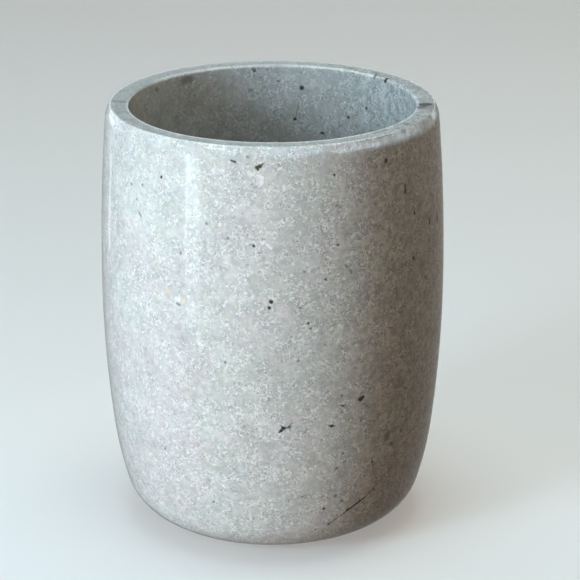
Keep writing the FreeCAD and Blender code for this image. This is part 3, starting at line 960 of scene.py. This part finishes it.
# %% [markdown]
# ## Light
#
# Tall lamps stand low to the left of the camera, as a window would, and do most of the work. Their
# light ends about forty degrees round to the right, which is where the stone falls into shade.
# Weak lamps stand for the rest of the room, two far ones keep the back from going black, and a
# skylight fills the flat rim and the bore. How much light a lamp throws and what a polish mirrors
# of it are two things, so they have a table each. The first lamps light the stone and aren't
# mirrored. The second are only mirrored: a pale streak left of the middle, brightest at its top, a
# thin line at the left edge, and the soft shine of the rim.

# %% Lamps that light the stone
LIGHTS = [
    # name, bearing to the left of the camera, distance from the axis, width, lowest and highest
    # level in metres, energy in watts, colour
    ("window", 52, 0.60, 0.16, 0.00, 0.30, 3.08, (0.60, 0.815, 1.0)),
    ("window, its upper part", 54, 0.60, 0.30, 0.20, 0.36, 0.80, (0.52, 0.80, 1.0)),
    ("window sill", 44, 0.60, 0.24, 0.00, 0.08, 1.65, (1.0, 0.92, 0.87)),
    ("room in front", 5, 0.60, 0.30, 0.04, 0.30, 0.52, (1.0, 0.75, 0.46)),
    ("room right", -90, 0.60, 0.30, 0.00, 0.30, 0.20, (1.0, 0.70, 0.70)),
    ("ceiling behind right", -120, 0.53, 0.40, 0.44, 0.72, 0.64, (1.0, 0.75, 0.25)),
    ("back of the room, left", 160, 1.50, 0.60, 0.00, 0.16, 6.6, (0.90, 0.96, 1.0)),
    ("back of the room, right", -165, 1.50, 0.60, 0.00, 0.16, 8.2, (1.0, 0.95, 0.88)),
]

# %% Lamps that only show in the polish
MIRRORED = [
    # name, bearing, distance, width, lowest and highest level, brightness, colour
    ("window right", -89, 0.60, 0.42, 0.22, 0.36, 1.5, (0.715, 0.87, 1.0)),
    ("window right, wider", -92, 0.60, 0.60, 0.15, 0.36, 1.0, (0.715, 0.87, 1.0)),
    ("window right, lower", -90, 0.60, 0.56, 0.07, 0.36, 0.6, (0.715, 0.87, 1.0)),
    ("window far right", -134, 0.60, 0.50, 0.01, 0.36, 0.4, (0.80, 0.88, 1.0)),
    ("horizon behind", 180, 0.60, 1.00, 0.06, 0.24, 0.85, (0.85, 0.93, 1.0)),
    ("window front right", -60, 0.60, 0.40, 0.26, 0.44, 3.1, (0.70, 0.88, 1.0)),
    ("window behind the camera", -15, 0.60, 0.40, 0.34, 0.56, 2.8, (0.56, 0.84, 1.0)),
    ("window behind left", 135, 0.60, 0.16, 0.00, 0.30, 0.8, (0.90, 1.0, 0.97)),
    ("ceiling right", -120, 0.53, 0.40, 0.44, 0.72, 3.3, (1.0, 0.86, 0.84)),
    ("streak", 48.5, 0.19, 0.034, 0.002, 0.091, 1.9, (0.72, 0.91, 1.0)),
    ("upper half of the streak", 48.5, 0.19, 0.032, 0.045, 0.091, 0.7, (0.72, 0.91, 1.0)),
    ("head of the streak", 50, 0.19, 0.023, 0.057, 0.091, 1.8, (0.76, 0.92, 1.0)),
    ("left side of the streak", 52.5, 0.19, 0.004, 0.030, 0.091, 2.0, (0.76, 0.92, 1.0)),
    ("edge line", 129, 0.19, 0.013, 0.013, 0.049, 1.0, (1.0, 1.0, 1.0)),
]

# %% The skylight, once for its light and once for its shine
SKYLIGHT_SIZE = 0.40
SKYLIGHT_MIRRORED_SIZE = 1.40
SKYLIGHT_LEVEL = 0.80
SKYLIGHT_ENERGY = 3.60
SKYLIGHT_COLOUR = (0.68, 0.887, 1.0)
SKYLIGHT_BRIGHTNESS = 4.0
SKYLIGHT_MIRRORED_COLOUR = (1.0, 0.95, 0.88)

# %% Hang the lamps


def lamp_at(name, where, width, height, energy, lamp_colour, mirrored):
    """An area lamp that looks at the middle of the stone, and that no camera sees. It either
    lights the stone or is mirrored in it. A mirrored lamp of brightness b takes pi * b * width *
    height watts."""
    data = bpy.data.lights.new(name, "AREA")
    data.shape = "RECTANGLE"
    data.size, data.size_y = width, height
    data.energy, data.color = energy, lamp_colour
    lamp = bpy.data.objects.new(name, data)
    scene.collection.objects.link(lamp)
    lamp.location = where
    towards = Vector((0, 0, stone_middle)) - lamp.location
    lamp.rotation_euler = towards.to_track_quat("-Z", "Y").to_euler()
    lamp.visible_camera = False
    lamp.visible_glossy = mirrored
    lamp.visible_diffuse = not mirrored


def stand(bearing, distance, lowest, highest):
    """Where a lamp at that bearing stands, and how tall it is for its tilt."""
    turn = math.radians(bearing)
    where = Vector((-distance * math.sin(turn), -distance * math.cos(turn), (lowest + highest) / 2))
    reach = (where - Vector((0, 0, stone_middle))).length
    return where, (highest - lowest) * reach / distance


for name, bearing, distance, width, lowest, highest, energy, lamp_colour in LIGHTS:
    where, height = stand(bearing, distance, lowest, highest)
    lamp_at(name, where, width, height, energy, lamp_colour, False)
for name, bearing, distance, width, lowest, highest, brightness, lamp_colour in MIRRORED:
    where, height = stand(bearing, distance, lowest, highest)
    lamp_at(name, where, width, height, brightness * math.pi * width * height, lamp_colour, True)
above = (0, 0, SKYLIGHT_LEVEL)
lamp_at("skylight", above, SKYLIGHT_SIZE, SKYLIGHT_SIZE, SKYLIGHT_ENERGY, SKYLIGHT_COLOUR, False)
lamp_at("skylight in the polish", above, SKYLIGHT_MIRRORED_SIZE, SKYLIGHT_MIRRORED_SIZE,
        SKYLIGHT_BRIGHTNESS * math.pi * SKYLIGHT_MIRRORED_SIZE**2, SKYLIGHT_MIRRORED_COLOUR, True)
print(len(LIGHTS) + 1, "lamps light the stone,", len(MIRRORED) + 1, "show in its polish")
